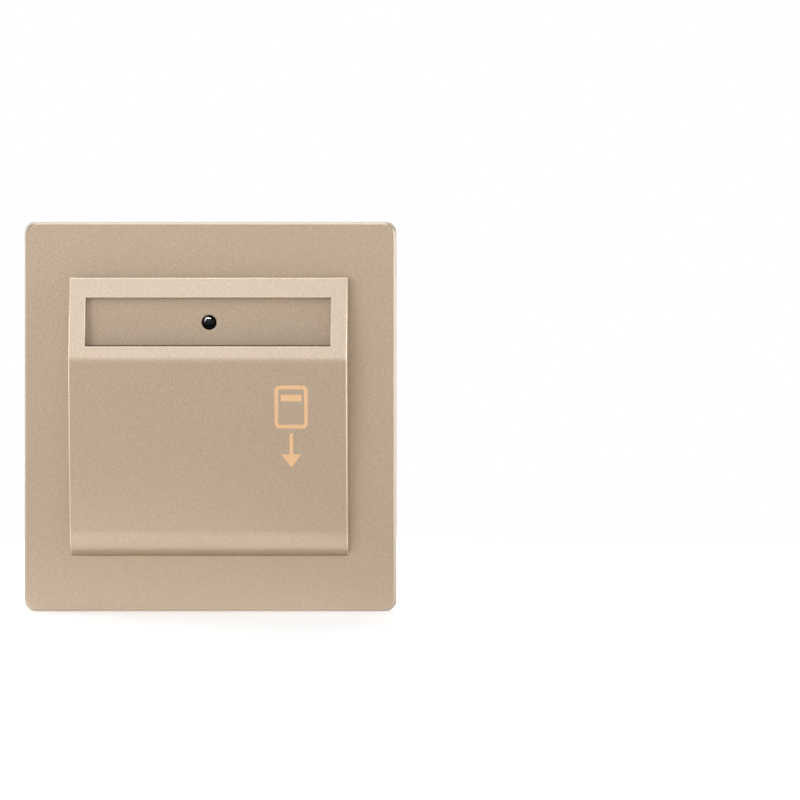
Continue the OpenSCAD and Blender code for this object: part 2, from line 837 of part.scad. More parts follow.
module board_screws() {
    color("#b9bcc0") for (s = [-1, 1], z = boss_z) {
        difference() {
            union() {
                post(s * boss_x, z, pilot_r - run_fit, board_y - skin, y_board1 + boss_d - 2);
                post(s * boss_x, z, 1.9, board_y - 1.2, board_y);
            }
            for (turn = [0, 90]) {
                translate([s * boss_x, board_y - 1.2, z]) rotate([0, turn, 0])
                    cube([2.2, 1.2, 0.5], center = true);
            }
        }
    }
}

// They keep their share of the room on the board when the box changes
row_z = z_deck + deck_under + 3.4;
share_w = in_w / 47.2;
share_h = (in_h / 2 - row_z) / 35.2;
share = min(share_w, share_h);
relay_wide = relay_w * share_w;
relay_high = relay_h * share_h;
film_wide = film_t * share_w;
can_r = storage_r * share;
relay_x0 = boss_r - boss_x + share_w;
relay_z0 = row_z + 4.2 * share_h;
film_x0 = relay_x0 + relay_wide + 2.2 * share_w;

module relay() {
    plinth = 1.2;
    edge = 0.4;
    color("#3a5f9e") union() {
        sheet(y_board1 + plinth, y_board1 + relay_d)
            translate([relay_x0 + relay_wide / 2, relay_z0 + relay_high / 2])
                rounded(relay_wide, relay_high, 1);
        block(relay_x0 + edge, relay_x0 + relay_wide - edge, y_board1, y_board1 + plinth + skin,
            relay_z0 + edge, relay_z0 + relay_high - edge);
    }
}

module film_capacitor() {
    film_h = 18 * share_h;
    film_d = 11.5;
    color("#d8b23c") sheet(y_board1, y_board1 + film_d)
        translate([film_x0 + film_wide / 2, relay_z0 + 14 * share_h]) rounded(film_wide, film_h, 0.6);
}

module storage_can(x, z, r, h) {
    post(x, z, r, y_board1, y_board1 + h);
}

module storage_capacitors() {
    small_r = 2.5 * share;
    x = boss_x - boss_r - can_r - 0.4;
    color("#22262e") union() {
        storage_can(x, row_z + 1.4 * share_h, can_r, 12.5);
        storage_can(x - can_r - small_r - 0.6, row_z, small_r, 8.5);
    }
}

module lying_diode(x, z) {
    r = 1.3 * share;
    lead = 0.35 * share;
    body_l = 5 * share_w;
    lead_l = 7.2 * share_w;
    axis_y = y_board1 + r;
    translate([x - body_l / 2, axis_y, z]) rotate([0, 90, 0]) cylinder(r = r, h = body_l);
    translate([x - lead_l / 2, axis_y, z]) rotate([0, 90, 0]) cylinder(r = lead, h = lead_l);
    for (s = [-1, 1]) post(x + s * (lead_l / 2 - 0.2), z, lead, y_board1, axis_y + lead);
}

module rectifier_diodes() {
    color("#2a2a2c") for (x = [3.4, 11.2], z = [-1.5, 1.9]) {
        lying_diode(relay_x0 + x * share_w, row_z + z * share_h);
    }
}

module surge_disc() {
    r = 3.6 * share;
    disc_t = 3.2 * share;
    x = relay_x0 + 17.2 * share_w;
    axis_y = y_board1 + r + 1.2;
    color("#2d6fae") union() {
        translate([x, axis_y, row_z - disc_t / 2]) cylinder(r = r, h = disc_t);
        for (s = [-1, 1]) post(x + s * 0.6 * r, row_z, 0.4, y_board1, axis_y - r / 2);
    }
}

module drop_resistors() {
    r = 1.1 * share;
    lead = 0.3 * share;
    body_l = 6.2 * share_h;
    lead_l = 8 * share_h;
    x = board_w / 2 - 1.9 * share_w;
    axis_y = y_board1 + r;
    color("#7fb0b8") for (up = [4, 14]) {
        z = relay_z0 + up * share_h;
        translate([x, axis_y, z - body_l / 2]) cylinder(r = r, h = body_l);
        translate([x, axis_y, z - lead_l / 2]) cylinder(r = lead, h = lead_l);
        for (s = [-1, 1]) post(x, z + s * (lead_l / 2 - 0.2), lead, y_board1, axis_y + lead);
    }
}

module driver_transistor() {
    r = 2.3 * share;
    x = relay_x0 + relay_wide / 2;
    z = relay_z0 + relay_high + 3.4 * share_h;
    color("#1e1e20") union() {
        difference() {
            post(x, z, r, y_board1 + 1.5, y_board1 + 6);
            block(x - r - over, x + r + over, 0, y_board1 + 8, z + 0.45 * r, z + r + over);
        }
        for (s = [-1, 0, 1]) post(x + s * 0.55 * r, z, 0.3 * share, y_board1, y_board1 + 1.5 + skin);
    }
}

module timer_chip() {
    x = -12 * share_w;
    z = 7 * share_h;
    leg_l = 0.5;
    color("#19191b") union() {
        block(x - 4.7, x + 4.7, board_y - leg_l - 3.2, board_y - leg_l, z - 3.2, z + 3.2);
        for (i = [-1.5, -0.5, 0.5, 1.5], s = [-1, 1]) {
            leg_x = x + i * 2.54;
            leg_z = z + s * 3.4;
            block(leg_x - leg_l / 2, leg_x + leg_l / 2, board_y - leg_l - 1.6, board_y,
                leg_z - leg_l / 2, leg_z + leg_l / 2);
        }
    }
}

// Snap switch

ear_x = lever_w / 2 + ear_gap;

module switch_case() {
    color("#262628") difference() {
        union() {
            block(-case_w / 2, case_w / 2, y_case0, y_case1, case_z1 - case_l, case_z1);
            for (s = [0, 1]) {
                mirror([s, 0, 0]) side_run(ear_x, ear_x + ear_t) union() {
                    translate([pivot_y, pivot_z]) circle(eye_r);
                    translate([pivot_y, pivot_z - eye_r]) square([y_case0 - pivot_y + skin, 2 * eye_r]);
                }
            }
        }
        post(0, pivot_z - plunger_drop, plunger_r + run_fit, y_case0 - over, y_case0 + 3);
        side_run(-case_w, case_w) translate([pivot_y, pivot_z]) circle(pivot_r + pin_fit / 2);
        side_run(-ear_x, ear_x) translate([pivot_y, pivot_z]) circle(eye_r + 0.15);
    }
}

module switch_leads() {
    color("#c8c4b4") for (i = [0 : 2]) {
        z = case_z1 - case_l / 2 + (i - 1) * 5.08;
        block(-1.6, 1.6, y_case1, board_y, z - 0.3, z + 0.3);
    }
}

module switch_plunger() {
    tip = pivot_y - plunger_drop * tan(lever_lean) + lever_t / 2 / cos(lever_lean) + lever_gap;
    z = pivot_z - plunger_drop;
    color("#a33028") union() {
        post(0, z, plunger_r, tip + 0.3 - skin, y_case0 + 1.6);
        translate([0, tip + 0.3, z]) rotate([90, 0, 0])
            cylinder(r1 = plunger_r, r2 = plunger_r - 0.3, h = 0.3);
    }
}

module card_lever() {
    tip_z = bend_z - bent_l * cos(lever_lean + lever_bend);
    color("#cfd0d2") difference() {
        side_run(-lever_w / 2, lever_w / 2) union() {
            translate([pivot_y, pivot_z]) circle(eye_r);
            translate([pivot_y, pivot_z]) rotate(-lever_lean)
                translate([-lever_t / 2, -lever_l]) square([lever_t, lever_l]);
            translate([bend_y, bend_z]) circle(lever_t / 2);
            translate([bend_y, bend_z]) rotate(-lever_lean - lever_bend)
                translate([-lever_t / 2, -bent_l]) square([lever_t, bent_l]);
            translate([tip_y, tip_z]) circle(tip_r);
        }
        side_run(-lever_w, lever_w) translate([pivot_y, pivot_z]) circle(pivot_r + run_fit);
    }
}

module lever_pin() {
    color("#d8d9db") side_run(-ear_x - ear_t, ear_x + ear_t) translate([pivot_y, pivot_z]) circle(pivot_r);
}

face_panel();
base_frame();
card_housing();
card_tray();
indicator_lamp();
lamp_spacer();
steel_bracket();
base_box();
rear_cover();
terminal_block(0);  // terminal_block_1
terminal_block(1);  // terminal_block_2
terminal_block(2);  // terminal_block_3
terminal_screw(0);  // terminal_screw_1
terminal_screw(1);  // terminal_screw_2
terminal_screw(2);  // terminal_screw_3
circuit_board();
board_screws();
relay();
film_capacitor();
storage_capacitors();
rectifier_diodes();
surge_disc();
drop_resistors();
driver_transistor();
timer_chip();
switch_case();
switch_leads();
switch_plunger();
card_lever();
lever_pin();
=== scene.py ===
# %% [markdown]
# # Hotel key card switch
# A wall switch for a hotel room. A key card goes down behind the sloping housing, a lever behind it
# presses a small snap switch, and a relay turns the room's power on. The solids come from the CAD frame.
# This lesson gives them their camera, light, soft edges, finishes and small raised details.
# Sizes are in millimetres, as in the CAD, and MM turns them into Blender's metres.

import json
import math

import bmesh
import bpy
from mathutils import Matrix, Vector


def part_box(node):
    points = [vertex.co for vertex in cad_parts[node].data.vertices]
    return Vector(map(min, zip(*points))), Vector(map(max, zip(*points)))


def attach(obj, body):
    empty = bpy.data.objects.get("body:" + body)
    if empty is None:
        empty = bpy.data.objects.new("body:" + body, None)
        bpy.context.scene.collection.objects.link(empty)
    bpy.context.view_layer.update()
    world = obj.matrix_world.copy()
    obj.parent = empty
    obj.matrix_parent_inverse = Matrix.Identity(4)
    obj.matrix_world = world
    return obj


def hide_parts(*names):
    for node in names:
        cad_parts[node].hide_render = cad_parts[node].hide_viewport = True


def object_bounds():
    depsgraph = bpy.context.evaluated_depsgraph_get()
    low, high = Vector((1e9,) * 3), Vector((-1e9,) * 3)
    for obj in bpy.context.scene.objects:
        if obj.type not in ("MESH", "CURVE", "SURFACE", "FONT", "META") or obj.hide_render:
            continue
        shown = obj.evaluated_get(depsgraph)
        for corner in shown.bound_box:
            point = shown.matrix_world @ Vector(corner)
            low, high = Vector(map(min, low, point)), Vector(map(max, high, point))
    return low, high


MM = 0.001
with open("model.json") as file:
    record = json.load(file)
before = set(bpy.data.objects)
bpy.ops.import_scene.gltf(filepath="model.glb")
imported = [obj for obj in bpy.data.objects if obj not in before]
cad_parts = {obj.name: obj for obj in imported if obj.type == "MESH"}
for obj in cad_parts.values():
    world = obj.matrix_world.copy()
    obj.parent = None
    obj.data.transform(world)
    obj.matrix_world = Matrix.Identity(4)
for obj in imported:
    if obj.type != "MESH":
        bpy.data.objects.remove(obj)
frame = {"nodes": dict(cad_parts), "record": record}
cad_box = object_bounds()
nodes = frame["nodes"]
scene = bpy.context.scene

# %% [markdown]
# ## Camera
# The picture was taken straight on with a long lens, so the panel's edges stay upright and parallel.
# A camera could be aimed at the middle of the object and shifted sideways. Here it stands to the right
# of the object and looks straight ahead, which puts the panel left of the middle with no lens shift.

# %% Place the camera
def put(name, data):
    thing = bpy.data.objects.new(name, data)
    scene.collection.objects.link(thing)
    return thing


CAMERA_MM = (43.8, -858.5, 3.8)
LENS_MM = 165.9
SENSOR_MM = 36.0
camera_data = bpy.data.cameras.new("camera")
camera_data.sensor_width = SENSOR_MM
camera_data.lens = LENS_MM
camera_data.clip_start = 0.05
camera_data.clip_end = 50.0
camera = put("camera", camera_data)
camera.location = Vector(CAMERA_MM) * MM
camera.rotation_euler = (math.radians(90), 0, 0)
scene.camera = camera
print("camera looks along +Y with a lens of", LENS_MM, "mm")

# %% [markdown]
# ## Building shader trees
# Every finish below is a small tree of nodes. Trees could be drawn by hand in the editor. Written as code
# they need a few short helpers: one adds a node and sets its sockets, one starts a finish with its
# Principled shader, and one makes a soft mottle, because no moulded or painted surface has one flat colour.

# %% Shader helpers
def add(tree, kind, links=None, **settings):
    node = tree.nodes.new(kind)
    for key, value in settings.items():
        setattr(node, key, value)
    for key, value in (links or {}).items():
        if isinstance(value, bpy.types.NodeSocket):
            tree.links.new(value, node.inputs[key])
        else:
            node.inputs[key].default_value = value
    return node


def start_finish(name, **sockets):
    material = bpy.data.materials.new(name)
    material.use_nodes = True
    tree = material.node_tree
    shader = tree.nodes["Principled BSDF"]
    for key, value in sockets.items():
        shader.inputs[key.replace("_", " ")].default_value = value
    place = add(tree, "ShaderNodeTexCoord").outputs["Object"]
    return material, tree, shader, place


def paint(tree, shader, colour):
    tree.links.new(colour, shader.inputs["Base Color"])


# %% Helpers for tone and grain
def noise(tree, place, size_mm, detail=2.0, rough=0.5):
    return add(tree, "ShaderNodeTexNoise", {
        "Vector": place, "Scale": 1.0 / (size_mm * MM), "Detail": detail, "Roughness": rough,
    }).outputs["Fac"]


def shade(colour, factor):
    return tuple(min(1.0, channel * factor) for channel in colour[:3]) + (1.0,)


def ramp(tree, value, stops, kind="LINEAR"):
    node = add(tree, "ShaderNodeValToRGB", {"Fac": value})
    node.color_ramp.interpolation = kind
    elements = node.color_ramp.elements
    while len(elements) < len(stops):
        elements.new(0.5)
    for element, (position, colour) in zip(elements, stops):
        element.position = position
        element.color = tuple(colour)
    return node


def mottle(tree, place, colour, size_mm, amount):
    stops = [(0.3, shade(colour, 1 - amount)), (0.7, shade(colour, 1 + amount))]
    return ramp(tree, noise(tree, place, size_mm), stops).outputs["Color"]


def grain(tree, shader, height, strength, distance_mm):
    bump = add(tree, "ShaderNodeBump", {
        "Height": height, "Strength": strength, "Distance": distance_mm * MM})
    tree.links.new(bump.outputs["Normal"], shader.inputs["Normal"])


# %% [markdown]
# ## White surroundings
# The product was lit in a white tent. A bright white world would do for the background, and would wash out
# every colour. The path of a ray tells the cases apart: the camera sees plain white, reflections see a
# pale grey tent, and the matt part of a surface gets only a little light from all round.

# %% World
WHITE = (1, 1, 1, 1)
WORLD_LIGHT = 0.28
WORLD_GLOSS = 0.60
world = bpy.data.worlds.new("white_tent")
scene.world = world
world.use_nodes = True
tree = world.node_tree
tree.nodes.clear()
path = add(tree, "ShaderNodeLightPath").outputs
seen = add(tree, "ShaderNodeMath", {
    0: path["Is Camera Ray"], 1: path["Is Transmission Ray"]}, operation="MAXIMUM")
mirrored = add(tree, "ShaderNodeMapRange", {
    "Value": path["Is Glossy Ray"], "To Min": WORLD_LIGHT, "To Max": WORLD_GLOSS})
strength = add(tree, "ShaderNodeMapRange", {
    "Value": seen.outputs[0], "To Min": mirrored.outputs["Result"], "To Max": 1.0})
tent = add(tree, "ShaderNodeBackground", {"Color": WHITE, "Strength": strength.outputs["Result"]})
add(tree, "ShaderNodeOutputWorld", {"Surface": tent.outputs["Background"]})
scene.view_settings.view_transform = "Standard"
print("world lights with", WORLD_LIGHT, "and shows white")

# %% [markdown]
# ## Lamps
# Small lamps would draw hard shadows and pinched highlights. Large area lamps give the slow change of tone
# across the panel and the pale slope above the ridge. A lamp for matt rays lights the colour of a surface,
# one for mirror rays shows only as a reflection, so tone and highlights are set apart from each other.
# Two narrow lamps behind draw the bright streaks along the bends of the steel bracket.

# %% Place the lamps
def soft_lamp(name, place_mm, size_mm, power, rays="all", aim_mm=(0, 0, 0)):
    data = bpy.data.lights.new(name, "AREA")
    data.shape = "RECTANGLE"
    data.size, data.size_y = size_mm[0] * MM, size_mm[1] * MM
    data.energy = power
    lamp = put(name, data)
    lamp.location = Vector(place_mm) * MM
    away = Vector(place_mm) - Vector(aim_mm)
    lamp.rotation_euler = away.to_track_quat("Z", "Y").to_euler()
    lamp.visible_camera = False
    lamp.visible_glossy = rays != "matt"
    lamp.visible_diffuse = rays != "mirror"
    return lamp


lamps = [
    soft_lamp("key_lamp", (-40, -780, 450), (900, 250), 1.85, "mirror"),
    soft_lamp("strip_lamp", (-220, -620, 640), (700, 50), 1.3, "mirror"),
    soft_lamp("front_lamp", (-170, -920, 40), (450, 450), 4.3, "matt"),
    soft_lamp("top_lamp", (0, -60, 800), (700, 300), 4.0, "mirror"),
    soft_lamp("left_lamp", (-700, -60, 60), (300, 600), 1.0),
    soft_lamp("right_lamp", (700, -95, 80), (300, 600), 2.8),
    soft_lamp("back_lamp", (-200, 700, 560), (1000, 400), 6.1),
    soft_lamp("rear_left_lamp", (620, 420, 120), (150, 500), 4.0, "mirror"),
    soft_lamp("rear_right_lamp", (-620, 420, 120), (150, 500), 4.0, "mirror"),
]
print("lamps:", [lamp.name for lamp in lamps])

# %% [markdown]
# ## Floor
# The object stands on white paper, which keeps its soft shadow. A lit table also shows in the underside of
# the housing: the paper glows in reflections close to the object and fades farther out, and that draws the
# light band along the rolled foot.

# %% Lay the floor
FLOOR_GAP_MM = 0.05
FLOOR_RADIUS_MM = 450
FLOOR_SIDES = 96
bm = bmesh.new()
bmesh.ops.create_circle(bm, cap_ends=True, segments=FLOOR_SIDES, radius=FLOOR_RADIUS_MM * MM)
bmesh.ops.translate(bm, verts=bm.verts, vec=(0, 0, cad_box[0].z - FLOOR_GAP_MM * MM))
floor_mesh = bpy.data.meshes.new("floor")
bm.to_mesh(floor_mesh)
bm.free()
floor = put("floor", floor_mesh)
print("floor lies", FLOOR_GAP_MM, "mm under the object")

# %% Floor paper
GLOW_MIDDLE_MM = (-18, 0, 0)
NEAR_MM, FAR_MM = 65, 100
GLOW_SEEN, GLOW_NEAR, GLOW_FAR = 0.45, 1.45, 0.30
paper, tree, shader, place = start_finish("floor_paper", Roughness=0.9)
paint(tree, shader, mottle(tree, place, (0.86, 0.86, 0.86), 6.0, 0.01))
path = add(tree, "ShaderNodeLightPath").outputs
reach = add(tree, "ShaderNodeVectorMath", {0: place, 1: Vector(GLOW_MIDDLE_MM) * MM}, operation="DISTANCE")
near = add(tree, "ShaderNodeMapRange", {
    "Value": reach.outputs["Value"], "From Min": NEAR_MM * MM, "From Max": FAR_MM * MM,
    "To Min": GLOW_NEAR, "To Max": GLOW_FAR})
mirrored = add(tree, "ShaderNodeMath", {
    0: path["Is Glossy Ray"], 1: near.outputs["Result"]}, operation="MULTIPLY")
glow = add(tree, "ShaderNodeMath", {
    0: path["Is Camera Ray"], 1: GLOW_SEEN, 2: mirrored.outputs[0]}, operation="MULTIPLY_ADD")
shader.inputs["Emission Color"].default_value = WHITE
tree.links.new(glow.outputs[0], shader.inputs["Emission Strength"])
floor_mesh.materials.append(paper)
print("paper glows with", GLOW_NEAR, "in reflections near the object")

# %% [markdown]
# ## Champagne gold lacquer
# The panel, housing and card pocket are plastic with a sprayed lacquer full of fine metal flakes.
# An even gold would look like cardboard. Each flake lies at its own small angle and has its own tone, so a
# Voronoi cell of 0.15 mm tilts the normal a little and picks a colour, from deep gold to a pale spark.
# On corners the film runs thin and smooth, so the edges get the same lacquer a little smoother and in a paler
# tone;
# the paler tone is a painted highlight along the edges.

# %% Gold lacquer
GOLD = (0.460, 0.322, 0.195, 1.0)
# The paler edge tone is a painted highlight along the rounded edges.
EDGE_HIGHLIGHT_TONE = (0.840, 0.700, 0.540, 1.0)
SPARK = (0.560, 0.416, 0.282, 1.0)
FLAKE_MM = 0.15
FLAKE_TILT = 0.08


def gold_lacquer(name, colour, rough):
    material, tree, shader, place = start_finish(
        name, Metallic=0.10, Roughness=rough, IOR=1.9, Specular_IOR_Level=0.75)
    flakes = add(tree, "ShaderNodeTexVoronoi", {
        "Vector": place, "Scale": 1.0 / (FLAKE_MM * MM)}).outputs["Color"]
    centred = add(tree, "ShaderNodeVectorMath", {0: flakes, 1: (0.5, 0.5, 0.5)}, operation="SUBTRACT")
    tilt = add(tree, "ShaderNodeVectorMath", {
        0: centred.outputs[0], "Scale": FLAKE_TILT}, operation="SCALE")
    normal = add(tree, "ShaderNodeNewGeometry").outputs["Normal"]
    leaned = add(tree, "ShaderNodeVectorMath", {0: normal, 1: tilt.outputs[0]}, operation="ADD")
    even = add(tree, "ShaderNodeVectorMath", {0: leaned.outputs[0]}, operation="NORMALIZE")
    tree.links.new(even.outputs[0], shader.inputs["Normal"])
    cells = add(tree, "ShaderNodeSeparateColor", {"Color": flakes}).outputs[0]
    specks = ramp(tree, cells, [(0.0, shade(colour, 0.88)), (0.7, shade(colour, 1.0)), (1.0, SPARK)])
    paint(tree, shader, specks.outputs["Color"])
    return material


gold = gold_lacquer("gold_lacquer", GOLD, 0.38)
edge_highlight_gold = gold_lacquer("gold_edge_painted_highlight", EDGE_HIGHLIGHT_TONE, 0.28)
print("gold lacquer with flakes of", FLAKE_MM, "mm")

# %% [markdown]
# ## Moulded plastics
# The frame is smooth ivory, the box and its cover are white with a fine matt grain from the mould.
# Both could share one white. They differ in the picture: the frame is warmer and shinier, and the grain
# on the box softens every highlight. A noise bump at a third of a millimetre gives that grain.

# %% Ivory, white and coloured plastic
CLOUD_MM, CLOUD_AMOUNT = 7.0, 0.018
MOULD_GRAIN_MM = 0.02


def moulded(name, colour, rough, grain_mm, bump):
    material, tree, shader, place = start_finish(name, Roughness=rough)
    paint(tree, shader, mottle(tree, place, colour, CLOUD_MM, CLOUD_AMOUNT))
    grain(tree, shader, noise(tree, place, grain_mm, 3.0), bump, MOULD_GRAIN_MM)
    return material


ivory = moulded("ivory_moulding", (0.780, 0.705, 0.640), 0.38, 1.2, 0.05)
white = moulded("white_moulding", (0.745, 0.710, 0.685), 0.55, 0.30, 0.25)
blue = moulded("blue_moulding", (0.030, 0.100, 0.330), 0.38, 0.5, 0.10)
yellow = moulded("yellow_lacquer", (0.640, 0.400, 0.045), 0.30, 0.8, 0.08)
black = moulded("black_moulding", (0.012, 0.012, 0.014), 0.45, 0.3, 0.20)
red = moulded("red_moulding", (0.310, 0.030, 0.022), 0.40, 0.4, 0.10)
# Bare plastic darkened by painted shade, for where it lies in shadow behind the slots.
bare_and_shaded = moulded("bare_moulding_painted_shade", (0.150, 0.118, 0.104), 0.50, 0.4, 0.15)
print("mouldings:", [material.name for material in (ivory, white, blue, yellow, black, red, bare_and_shaded)])

# %% [markdown]
# ## Hammered coating on the bracket
# The bracket is steel under a thick grey coating that draws together into small pits as it dries.
# A plain grey would look like plastic. One noise of about half a millimetre gives the pits as a bump, which
# breaks up the highlights. The same noise paints the crests lighter and the pits darker, a painted shading of
# the relief, so the pattern shows even in flat light.

# %% Hammered grey coating
STEEL_GREY = (0.136, 0.139, 0.128)
PIT_MM, PIT_DEPTH_MM = 0.45, 0.05
coated, tree, shader, place = start_finish("hammered_coating", Metallic=0.35, Roughness=0.30)
pits = noise(tree, place, PIT_MM, 3.0, 0.6)
# Painted shading of the relief: lighter crests, darker pits.
relief_shading_tone = ramp(tree, pits, [
    (0.30, shade(STEEL_GREY, 0.90)), (0.55, shade(STEEL_GREY, 1.0)), (0.75, shade(STEEL_GREY, 1.18))])
paint(tree, shader, relief_shading_tone.outputs["Color"])
grain(tree, shader, pits, 0.70, PIT_DEPTH_MM)
print("hammered coating with pits of", PIT_MM, "mm")

# %% [markdown]
# ## Bare metals
# The terminals and clamp screws are turned brass. The card lever, its pin, the leads and the board's screws
# are plated steel. A mirror of one tone would look like glass. Fine stretched noise breaks the reflection the
# way tool marks do.

# %% Brass and plated steel
MARK_MM, MARK_DEPTH_MM = 0.25, 0.02


def bare_metal(name, colour, rough, stretch):
    material, tree, shader, place = start_finish(name, Metallic=1.0)
    marks = add(tree, "ShaderNodeMapping", {"Vector": place, "Scale": stretch}).outputs["Vector"]
    lines = noise(tree, marks, MARK_MM, 3.0)
    tone = ramp(tree, lines, [(0.3, shade(colour, 0.86)), (0.7, shade(colour, 1.10))])
    paint(tree, shader, tone.outputs["Color"])
    gloss = add(tree, "ShaderNodeMapRange", {
        "Value": lines, "To Min": rough - 0.05, "To Max": rough + 0.08})
    tree.links.new(gloss.outputs["Result"], shader.inputs["Roughness"])
    grain(tree, shader, lines, 0.12, MARK_DEPTH_MM)
    return material


brass = bare_metal("turned_brass", (0.700, 0.420, 0.105), 0.26, (0.4, 3.0, 0.4))
plated = bare_metal("plated_steel", (0.560, 0.560, 0.570), 0.24, (0.3, 1.0, 3.0))
print("metals:", brass.name, plated.name)

# %% [markdown]
# ## Circuit board and banded components
# Diodes carry one silver band, resistors several coloured ones, and all have bare wire ends. Each band could
# be a piece of its own. One colour ramp along the component does the same: the alpha of each stop says where
# bare metal begins, and the ramp starts again at each component in the row.

# %% Bands along a component
AXES = {"X": 0, "Y": 1, "Z": 2}


def banded(name, axis, reach_mm, stops, rough):
    material, tree, shader, place = start_finish(name, Roughness=rough)
    along = add(tree, "ShaderNodeSeparateXYZ", {0: place}).outputs[AXES[axis]]
    low, high = reach_mm
    wrapped = add(tree, "ShaderNodeMath", {0: along, 1: high * MM, 2: low * MM}, operation="WRAP")
    part = add(tree, "ShaderNodeMapRange", {
        "Value": wrapped.outputs[0], "From Min": low * MM, "From Max": high * MM}).outputs[0]
    steps = [((at - low) / (high - low), tuple(colour) + (metal,)) for at, colour, metal in stops]
    bands = ramp(tree, part, steps, "CONSTANT")
    worn = mottle(tree, place, (0.95, 0.95, 0.95), 0.6, 0.05)
    tone = add(tree, "ShaderNodeMix", {6: bands.outputs["Color"], 7: worn},
               data_type="RGBA", blend_type="MULTIPLY")
    tone.inputs[0].default_value = 1.0
    paint(tree, shader, tone.outputs[2])
    tree.links.new(bands.outputs["Alpha"], shader.inputs["Metallic"])
    return material


# %% Diodes and resistors
WIRE = (0.56, 0.56, 0.56)
DIODE = (0.02, 0.02, 0.022)
SILVER = (0.62, 0.62, 0.60)
CERAMIC = (0.21, 0.42, 0.47)
RED_BAND, BROWN_BAND, GOLD_BAND = (0.30, 0.04, 0.02), (0.12, 0.05, 0.02), (0.50, 0.34, 0.10)
diode_bands = banded("diode_bands", "X", (-17.9, -10.1), [
    (-17.9, WIRE, 1), (-16.5, DIODE, 0), (-12.9, SILVER, 0), (-12.1, DIODE, 0), (-11.5, WIRE, 1)], 0.35)
resistor_bands = banded("resistor_bands", "Z", (-7.8, 2.2), [
    (-7.8, WIRE, 1), (-5.9, CERAMIC, 0), (-4.9, RED_BAND, 0), (-4.3, CERAMIC, 0), (-3.6, BROWN_BAND, 0),
    (-3.0, CERAMIC, 0), (-2.0, GOLD_BAND, 0), (-1.4, CERAMIC, 0), (0.3, WIRE, 1)], 0.32)
print("bands on diodes and resistors")

# %% Board with tracks
TRACK_MM = 6.0
board_green, tree, shader, place = start_finish("board_mask", Roughness=0.33)
turned = add(tree, "ShaderNodeMapping", {"Vector": place, "Rotation": (math.radians(90), 0, 0)})
tracks = add(tree, "ShaderNodeTexBrick", {
    "Vector": turned.outputs["Vector"], "Scale": 1.0 / (TRACK_MM * MM), "Mortar Size": 0.10,
    "Color1": (0.018, 0.120, 0.045, 1), "Color2": (0.022, 0.135, 0.052, 1),
    "Mortar": (0.060, 0.230, 0.080, 1), "Brick Width": 0.9, "Row Height": 0.42})
paint(tree, shader, tracks.outputs["Color"])
grain(tree, shader, tracks.outputs["Fac"], 0.3, 0.03)
print("board has raised tracks under its green mask")

# %% [markdown]
# ## Soft edges
# CAD edges are perfectly sharp, and a sharp edge never catches the light. Moulded and painted edges have a
# radius of some tenths of a millimetre, which draws the thin bright lines round the housing and the window;
# on the housing a paler edge colour adds a painted highlight to these lines.
# Rounding every edge would also tangle the thin ribs. So a copy of each solid is cleaned of its loose
# triangles, its corners are picked by angle and place, and a bevel rounds those. Only the outward corners
# are picked, unless a piece has a rule of its own, which gives each edge its share of the radius.

# %% Picking the corners
MOSTLY = 0.9


def middle_mm(edge):
    return (edge.verts[0].co + edge.verts[1].co) / (2 * MM)


def corner_weight(edge, weigh, sharp):
    if len(edge.link_faces) != 2 or edge.calc_face_angle(0.0) < math.radians(sharp):
        return 0.0
    return weigh(edge) if weigh else float(edge.is_convex)


def as_plain_mesh(piece, name):
    depsgraph = bpy.context.evaluated_depsgraph_get()
    mesh = bpy.data.meshes.new_from_object(piece.evaluated_get(depsgraph), depsgraph=depsgraph)
    mesh.name = name
    piece.modifiers.clear()
    piece.data = mesh


def body_of(node):
    bodies = frame["record"]["behaviour"]["bodies"]
    return next(body for body, members in bodies.items() if node in members)


# %% Cleaning and rounding a copy
SAME_POINT_MM = 0.002
FLAT_DEGREES = 0.4


def cleaned_copy(node, weigh, sharp):
    mesh = nodes[node].data.copy()
    bm = bmesh.new()
    bm.from_mesh(mesh)
    bmesh.ops.remove_doubles(bm, verts=bm.verts, dist=SAME_POINT_MM * MM)
    bmesh.ops.dissolve_limit(bm, angle_limit=math.radians(FLAT_DEGREES), verts=bm.verts, edges=bm.edges)
    weights = bm.edges.layers.float.new("bevel_weight_edge")
    count = 0
    for edge in bm.edges:
        edge[weights] = corner_weight(edge, weigh, sharp)
        edge.smooth = edge[weights] > 0 or edge.calc_face_angle(0.0) < math.radians(sharp)
        count += edge[weights] > 0
    for face in bm.faces:
        face.smooth = True
    bm.to_mesh(mesh)
    bm.free()
    mesh.materials.clear()
    return mesh, count


def rounded_copy(node, radius_mm, material, weigh=None, segments=3, sharp=24, edge_material=None):
    name = node + ".finish"
    mesh, count = cleaned_copy(node, weigh, sharp)
    mesh.materials.append(material)
    piece = put(name, mesh)
    bevel = piece.modifiers.new("soft_edge", "BEVEL")
    if edge_material:
        mesh.materials.append(edge_material)
        bevel.material = 1
    bevel.limit_method = "WEIGHT"
    bevel.width = radius_mm * MM
    bevel.segments = segments
    bevel.use_clamp_overlap = False
    level = piece.modifiers.new("flat_faces", "WEIGHTED_NORMAL")
    level.keep_sharp = True
    as_plain_mesh(piece, name)
    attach(piece, body_of(node))
    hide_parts(node)
    print(name, "rounds", count, "edges by", radius_mm, "mm on", body_of(node))
    return piece


# %% [markdown]
# ## The gold front
# The housing's outer edges are the softest. One radius for all would make its window look worn, so the window
# and the lower edge of the foot are crisper. All of them get the pale edge lacquer, whose paler tone is a
# painted highlight. On the panel only the outer rim is rounded. In the pocket every corner is, apart from the
# cheeks' edges that lie against the housing.

